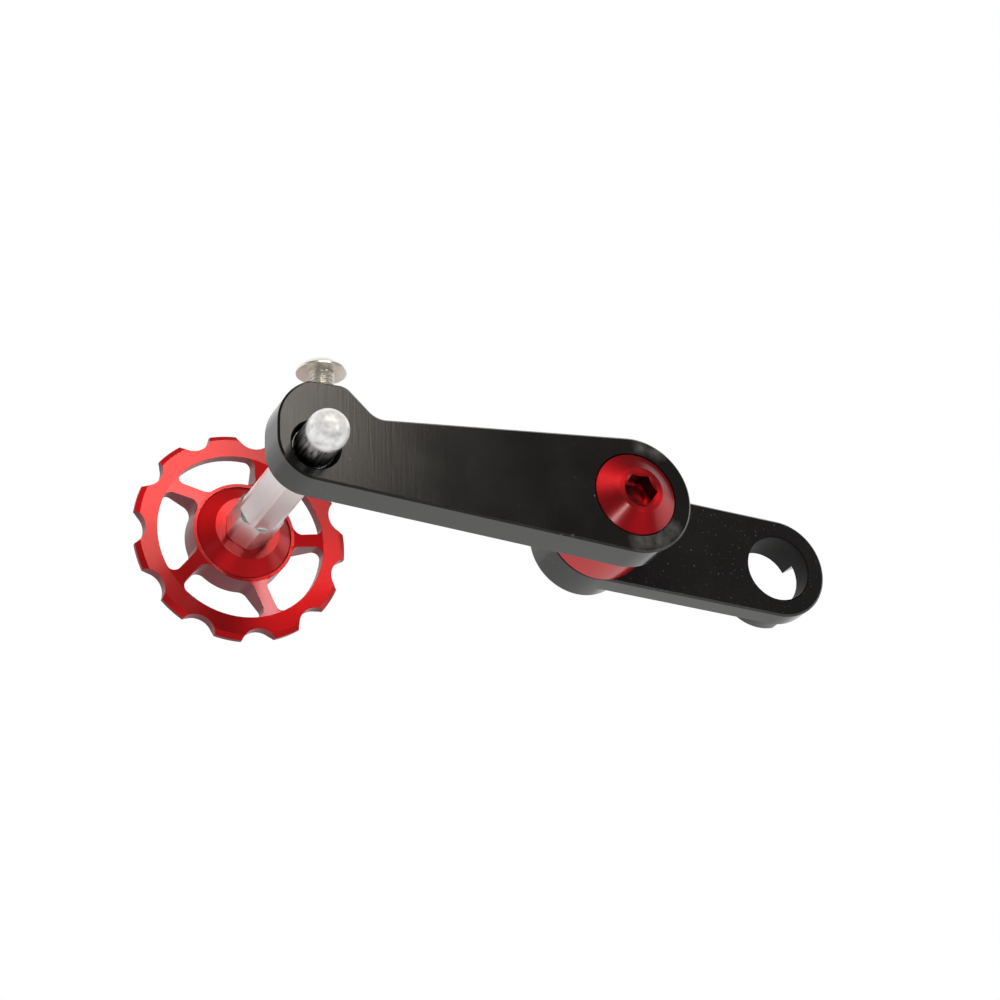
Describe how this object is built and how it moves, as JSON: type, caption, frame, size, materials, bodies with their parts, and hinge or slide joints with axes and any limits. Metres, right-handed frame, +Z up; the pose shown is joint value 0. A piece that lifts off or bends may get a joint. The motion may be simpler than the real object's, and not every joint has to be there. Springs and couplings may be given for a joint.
{
  "type": "bicycle chain tensioner",
  "caption": "Sprung-arm chain tensioner for a bicycle: a link with a stop lip, an arm on a pivot bolt, and a toothed pulley on a hexagonal axle that slides through the arm",
  "frame": {"origin": "middle of the hanger bore, in the plane of the link's back face", "axes": "+X right as pictured, +Z up, +Y away from the viewer along the bolts, towards the pulley and the bicycle's middle"},
  "size_m": [0.1379, 0.0636, 0.0434],
  "materials": {
    "black_anodised": "black anodised, milled",
    "red_anodised": "red anodised, turned",
    "bare_aluminium": "satin, turned end polished",
    "stainless_steel": "bright stainless screws",
    "bearing_steel": "ground",
    "spring_steel": "oiled wire",
    "bronze": "turned sheet"
  },
  "bodies": {
    "link": {"hanger_link": "black_anodised", "spring_collar": "red_anodised", "pivot_bolt": "red_anodised", "pivot_sleeve": "bearing_steel", "head_washer": "bronze", "torsion_spring": "spring_steel"},
    "arm": {"main_arm": "black_anodised", "stop_pin": "bearing_steel"},
    "clamp": {"clamp_screw": "stainless_steel"},
    "axle": {"axle_rod": "bare_aluminium", "hex_spacer": "bare_aluminium", "front_cap": "red_anodised", "inner_race": "bearing_steel", "rear_cap": "red_anodised", "bolt_washer": "stainless_steel", "wheel_bolt": "stainless_steel"},
    "pulley": {"jockey_wheel": "red_anodised", "outer_race": "bearing_steel", "front_shield": "bearing_steel", "rear_shield": "bearing_steel"},
    "ball_ring": {"bearing_balls": "bearing_steel", "ball_cage": "bronze"}
  },
  "joints": [
    {"name": "arm_pivot", "type": "hinge", "parent": "link", "child": "arm", "pos_m": [-0.04092, -0.015, 0.0025], "axis": [0, 1, 0], "range_deg": [0, 90], "stiffness_Nm_per_rad": 0.3, "springref_deg": -57.3, "deforming": ["torsion_spring"]},
    {"name": "clamp_slide", "type": "slide", "parent": "arm", "child": "clamp", "axis": [0, 0, 1], "range_m": [0, 0.005]},
    {"name": "axle_slide", "type": "slide", "parent": "arm", "child": "axle", "axis": [0, 1, 0], "range_m": [-0.012, 0.006]},
    {"name": "pulley_spin", "type": "hinge", "parent": "axle", "child": "pulley", "pos_m": [-0.10582, 0.02225, 0.0025], "axis": [0, 1, 0], "continuous": true},
    {"name": "cage_spin", "type": "hinge", "parent": "axle", "child": "ball_ring", "pos_m": [-0.10582, 0.02225, 0.0025], "axis": [0, 1, 0], "continuous": true}
  ],
  "couplings": [
    {"joint": "cage_spin", "follows": "pulley_spin", "ratio": 0.62632}
  ]
}
